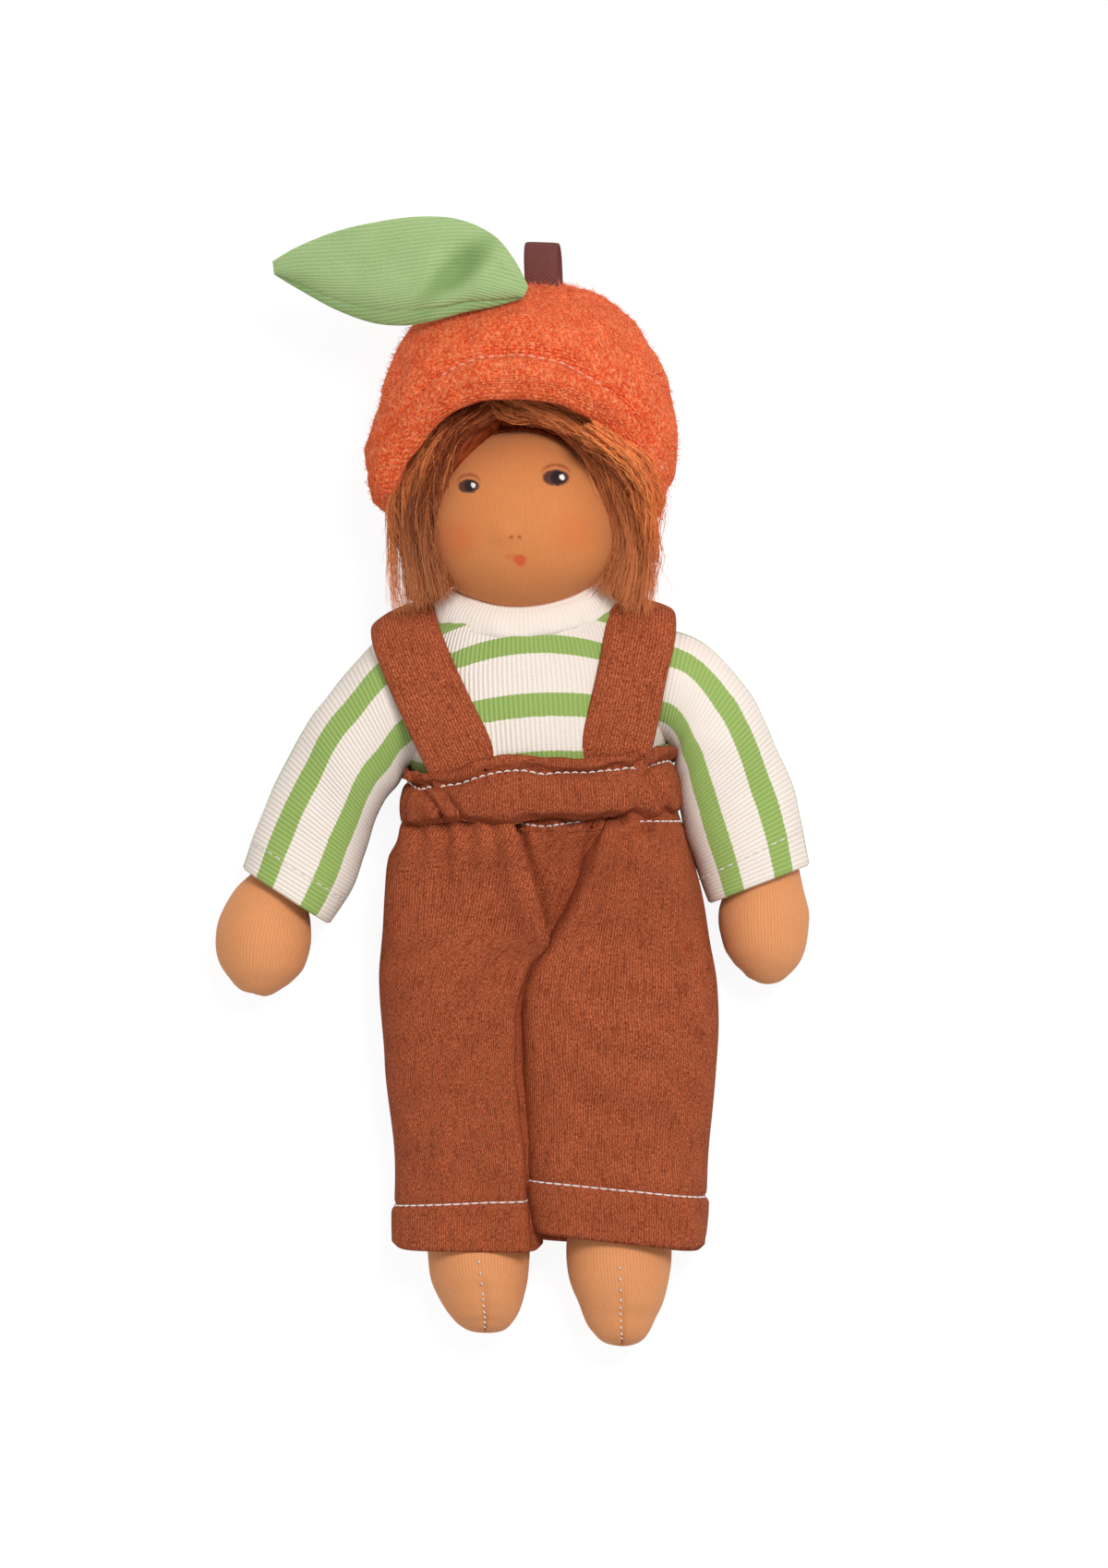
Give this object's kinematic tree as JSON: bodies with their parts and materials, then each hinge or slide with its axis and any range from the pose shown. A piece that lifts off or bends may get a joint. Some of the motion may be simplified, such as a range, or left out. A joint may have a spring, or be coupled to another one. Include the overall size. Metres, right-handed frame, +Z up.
{
  "type": "waldorf doll",
  "caption": "Soft stuffed waldorf doll in a rib sweater and dungarees with a pull-off fruit hat, lying on its back; its limbs, head and leaf move.",
  "frame": {"origin": "middle of the doll's outline, on the surface that it lies on", "axes": "+X towards the doll's left hand, +Y towards the top of its head, +Z up out of its chest"},
  "size_m": [0.1612, 0.292, 0.0642],
  "materials": {
    "sweatshirt_cloth": "heather sweatshirt knit",
    "cotton_tricot": "fine matt knit",
    "stuffing_wool": "loose carded wool",
    "velour": "ribbed velour with a short nap",
    "boiled_wool": "felted wool with a short nap",
    "twill_tape": "matt woven tape",
    "mohair": "fine hair with a slight sheen",
    "tying_thread": "matt twisted thread",
    "rib_knit": "soft rib knit with green stripes",
    "elastic": "woven elastic"
  },
  "bodies": {
    "torso": {"torso_skin": "cotton_tricot", "torso_wool_stuffing": "stuffing_wool", "sweater_front": "rib_knit", "sweater_back": "rib_knit", "sweater_collar": "rib_knit", "waistband": "sweatshirt_cloth", "waist_elastic": "elastic", "left_trouser_seat": "sweatshirt_cloth", "right_trouser_seat": "sweatshirt_cloth", "left_strap": "sweatshirt_cloth", "right_strap": "sweatshirt_cloth"},
    "neck": {"neck": "cotton_tricot", "neck_tie_thread": "tying_thread"},
    "head": {"head_skin": "cotton_tricot", "head_wool_core": "stuffing_wool", "wig_cap": "mohair", "left_fringe": "mohair", "right_fringe": "mohair", "left_lock": "mohair", "right_lock": "mohair", "nape_hair": "mohair"},
    "hat": {"hat_crown": "boiled_wool", "hat_hem_facing": "boiled_wool", "hat_stem_loop": "twill_tape"},
    "leaf": {"leaf_top_panel": "velour", "leaf_under_panel": "velour", "leaf_wadding": "stuffing_wool"},
    "left_shoulder": {"left_armhole_seam": "rib_knit"},
    "right_shoulder": {"right_armhole_seam": "rib_knit"},
    "left_arm": {"left_sleeve": "rib_knit", "left_cuff_hem": "rib_knit", "left_arm_skin": "cotton_tricot", "left_arm_wool": "stuffing_wool"},
    "right_arm": {"right_sleeve": "rib_knit", "right_cuff_hem": "rib_knit", "right_arm_skin": "cotton_tricot", "right_arm_wool": "stuffing_wool"},
    "left_leg": {"left_trouser_leg": "sweatshirt_cloth", "left_trouser_hem": "sweatshirt_cloth", "left_leg_skin": "cotton_tricot", "left_leg_wool": "stuffing_wool"},
    "right_leg": {"right_trouser_leg": "sweatshirt_cloth", "right_trouser_hem": "sweatshirt_cloth", "right_leg_skin": "cotton_tricot", "right_leg_wool": "stuffing_wool"}
  },
  "joints": [
    {"name": "neck_turn", "type": "hinge", "parent": "torso", "child": "neck", "pos_m": [0.00261, 0.04586, 0.0301], "axis": [-0.0663, 0.9978, 0], "range_deg": [-35, 35], "stiffness_Nm_per_rad": 0.03},
    {"name": "head_nod", "type": "hinge", "parent": "neck", "child": "head", "pos_m": [0.00261, 0.04586, 0.0301], "axis": [0.9978, 0.0663, 0], "range_deg": [-10, 10], "stiffness_Nm_per_rad": 0.3},
    {"name": "hat_off", "type": "slide", "parent": "head", "child": "hat", "axis": [0.0022, 0.9999, 0.0133], "range_m": [0, 0.075]},
    {"name": "leaf_flop", "type": "hinge", "parent": "hat", "child": "leaf", "pos_m": [-0.00145, 0.12742, 0.0566], "axis": [0.1167, 0.9925, 0.0354], "range_deg": [0, 45], "stiffness_Nm_per_rad": 0.02},
    {"name": "left_arm_swing", "type": "hinge", "parent": "torso", "child": "left_shoulder", "pos_m": [0.00427, 0.02091, 0.0229], "axis": [-0.9978, -0.0663, 0], "range_deg": [-20, 100], "stiffness_Nm_per_rad": 0.01},
    {"name": "left_arm_raise", "type": "hinge", "parent": "left_shoulder", "child": "left_arm", "pos_m": [0.03957, 0.03708, 0.02529], "axis": [0.0113, -0.1701, 0.9854], "range_deg": [-1, 80], "stiffness_Nm_per_rad": 0.01},
    {"name": "right_arm_swing", "type": "hinge", "parent": "torso", "child": "right_shoulder", "pos_m": [0.00427, 0.02091, 0.0229], "axis": [-0.9978, -0.0663, 0], "range_deg": [-20, 100], "stiffness_Nm_per_rad": 0.01},
    {"name": "right_arm_raise", "type": "hinge", "parent": "right_shoulder", "child": "right_arm", "pos_m": [-0.03287, 0.03226, 0.02537], "axis": [-0.0117, 0.1763, -0.9843], "range_deg": [-4, 75], "stiffness_Nm_per_rad": 0.01},
    {"name": "left_leg_swing", "type": "hinge", "parent": "torso", "child": "left_leg", "pos_m": [0.02658, -0.03796, 0.0194], "axis": [-1, 0, 0], "range_deg": [-12, 95], "stiffness_Nm_per_rad": 0.02},
    {"name": "right_leg_swing", "type": "hinge", "parent": "torso", "child": "right_leg", "pos_m": [-0.01022, -0.03796, 0.0194], "axis": [-1, 0, 0], "range_deg": [-12, 95], "stiffness_Nm_per_rad": 0.02}
  ]
}
